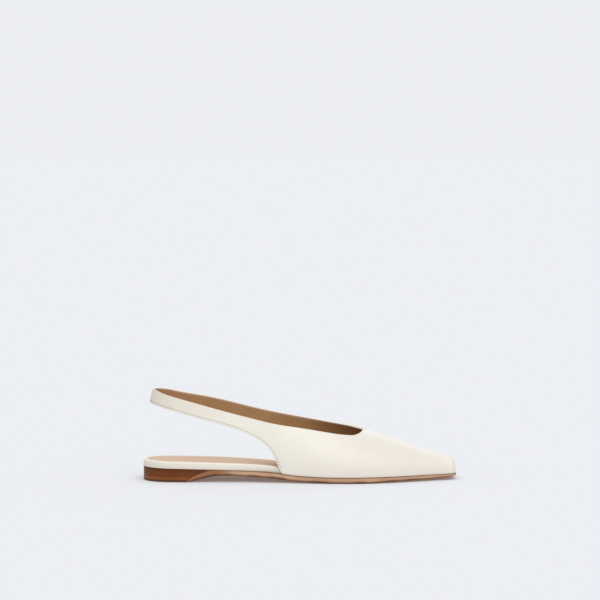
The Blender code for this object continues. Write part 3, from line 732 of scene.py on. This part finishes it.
def paintBands(finish, colour, height, bandsAndPaintedLight):
    # Bands by height colour a leather whose own colour is white, with patches that darken them; the bands
    # hold the leather's own tones and painted light and shade
    tree, link = finish.node_tree, finish.node_tree.links.new
    shader = tree.nodes["Principled BSDF"]
    ramp = addNode(tree, "ShaderNodeValToRGB")
    fillRamp(ramp, [(place, (*tone, 1)) for place, tone in bandsAndPaintedLight])
    both = addNode(tree, "ShaderNodeMix", data_type="RGBA", blend_type="MULTIPLY")
    both.inputs[0].default_value = 1.0
    link(height, ramp.inputs[0])
    link(ramp.outputs[0], both.inputs[6])
    link(colour.outputs[2], both.inputs[7])
    link(both.outputs[2], shader.inputs["Base Color"])
    return both


def closeBreast(mesh):
    # The leaf's face towards the heel moves up to it, so that only a change of colour shows
    back, up = soleLook["leafNormal"]
    leaf = {}
    for face in mesh.polygons:
        if face.normal.x < back and face.normal.z > up and face.center.x < soleLook["breastEnd"]:
            for i in face.vertices:
                leaf[i] = face.normal.copy()
    for i, normal in leaf.items():
        mesh.vertices[i].co += normal * soleLook["breastGap"]


def makeSole():
    piece = copyNode("outsole", "leatherSole")
    heightUp(piece)
    closeBreast(piece.data)
    side, colour = leatherFinish("soleSide", soleLook["side"])
    banded = paintBands(side, colour, storedHeight(side), soleLook["bandsAndPaintedLight"])
    deepenAlong(side, banded, soleLook["breastShade"])
    under, _ = leatherFinish("soleUnder", soleLook["under"])
    piece.data.materials.append(side)
    piece.data.materials.append(under)
    for face in piece.data.polygons:
        face.material_index = 1 if face.normal.z < -soleLook["underSlope"] else 0
    roundEdges(piece, soleLook)
    applyModifiers(piece)
    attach(piece, "root")
    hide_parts("outsole")


makeSole()
print("sole dressed")


# Footbed: cream leather drawn round the board, with a fine light line where it meets the sole and a painted
# highlight along the top of its rim

footbedLook = {
    "rim": 0.0056,               # height of the wrapped rim
    "edgeRound": 0.0004,
    "edgeAngle": 30,
    "wrap": {"colour": (1, 1, 1), "shade": (0.95, 0.945, 0.94), "rough": 0.42, "grain": 2400,
             "fold": 0.45, "patch": 40, "depth": 0.00005, "coat": 0.06, "gloss": 0.5},
    # the lighter top of the rim is a painted highlight
    "bandsAndPaintedLight": [                   # height up the rim, from 0 to 1, and the tone there
        (0.00, (0.640, 0.440, 0.360)),
        (0.06, (0.790, 0.640, 0.560)),
        (0.16, (0.740, 0.695, 0.600)),
        (0.85, (0.750, 0.705, 0.610)),
        (1.00, (0.830, 0.790, 0.700)),
    ],
}


def makeFootbed():
    piece = copyNode("footbed", "wrappedFootbed")
    meetBelow(piece.data)
    heightUp(piece, footbedLook["rim"])
    wrap, colour = leatherFinish("wrapLeather", footbedLook["wrap"])
    paintBands(wrap, colour, storedHeight(wrap), footbedLook["bandsAndPaintedLight"])
    piece.data.materials.append(wrap)
    roundEdges(piece, footbedLook)
    applyModifiers(piece)
    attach(piece, "root")
    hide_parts("footbed")


makeFootbed()
print("footbed dressed")


# Sock: thin padded tan leather, with painted shade deeper towards its front

sockLook = {
    "edgeRound": 0.0002,
    "edgeAngle": 30,
    # painted shade, deeper towards the front where the sock runs in under the upper
    "frontPaintedShade": {"from": -0.10, "to": -0.03, "tone": (0.915, 0.865, 0.785)},
    "leather": {"colour": (0.620, 0.420, 0.285), "shade": (0.585, 0.385, 0.255), "rough": 0.50, "grain": 1700,
                "fold": 0.40, "patch": 28, "depth": 0.00006, "coat": 0.0, "gloss": 0.35},
}


def makeSock():
    piece = copyNode("sock", "tanSock")
    leather, colour = leatherFinish("sockLeather", sockLook["leather"])
    deepenAlong(leather, colour, sockLook["frontPaintedShade"])
    piece.data.materials.append(leather)
    roundEdges(piece, sockLook)
    applyModifiers(piece)
    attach(piece, "root")
    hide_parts("sock")


makeSock()
print("sock dressed")


# Heel: lifts of leather glued in a stack and inked, with painted shade under the footbed, and the dark piece
# that it stands on

heelLook = {
    "edgeRound": 0.00015,
    "edgeAngle": 40,
    "rampReach": 1.2,            # the colour ramp runs to this many times the last layer's height
    "stack": {"colour": (1, 1, 1), "shade": (0.78, 0.74, 0.72), "rough": 0.50, "grain": 1500,
              "fold": 0.70, "patch": 60, "depth": 0.00003, "coat": 0.02, "gloss": 0.18},
    # the lifts' own tones, darker towards the top as painted shade under the footbed's rim
    "liftsAndShade": [                  # height above the floor and the tone there
        (0.0000, (0.088, 0.032, 0.010)),
        (0.0018, (0.110, 0.036, 0.010)),
        (0.0021, (0.245, 0.078, 0.022)),
        (0.0041, (0.230, 0.072, 0.019)),
        (0.0044, (0.150, 0.039, 0.007)),
        (0.0050, (0.162, 0.043, 0.008)),
        (0.0066, (0.164, 0.045, 0.008)),
        (0.0068, (0.132, 0.034, 0.006)),
        (0.0072, (0.156, 0.043, 0.008)),
        (0.0092, (0.138, 0.036, 0.007)),
        (0.0112, (0.095, 0.026, 0.006)),
    ],
    "topPiece": {"colour": (0.110, 0.046, 0.022), "shade": (0.090, 0.036, 0.016), "rough": 0.55,
                 "grain": 1200, "fold": 0.50, "patch": 60, "depth": 0.00005, "coat": 0.0, "gloss": 0.25},
}


def makeHeel():
    stack, colour = leatherFinish("stackedLeather", heelLook["stack"])
    tree, link = stack.node_tree, stack.node_tree.links.new
    place = addNode(tree, "ShaderNodeTexCoord")
    split = addNode(tree, "ShaderNodeSeparateXYZ")
    top = heelLook["liftsAndShade"][-1][0] * heelLook["rampReach"]
    share = addNode(tree, "ShaderNodeMath", {1: top}, operation="DIVIDE")
    link(place.outputs["Object"], split.inputs[0])
    link(split.outputs["Z"], share.inputs[0])
    liftsAndShade = [(height / top, tone) for height, tone in heelLook["liftsAndShade"]]
    paintBands(stack, colour, share.outputs[0], liftsAndShade)
    topPiece, _ = leatherFinish("topPieceRubber", heelLook["topPiece"])
    for node, name, finish, slot in (
        ("heel", "stackedHeel", stack, "stacked_leather"),
        ("heel_top_piece", "wornTopPiece", topPiece, "top_piece_rubber"),
    ):
        piece = copyNode(node, name)
        piece.data.materials.append(finish)
        if node == "heel":
            meetBelow(piece.data)
        roundEdges(piece, heelLook)
        applyModifiers(piece)
        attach(piece, "root")
        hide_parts(node)


makeHeel()
print("heel dressed")


print("all pieces made")
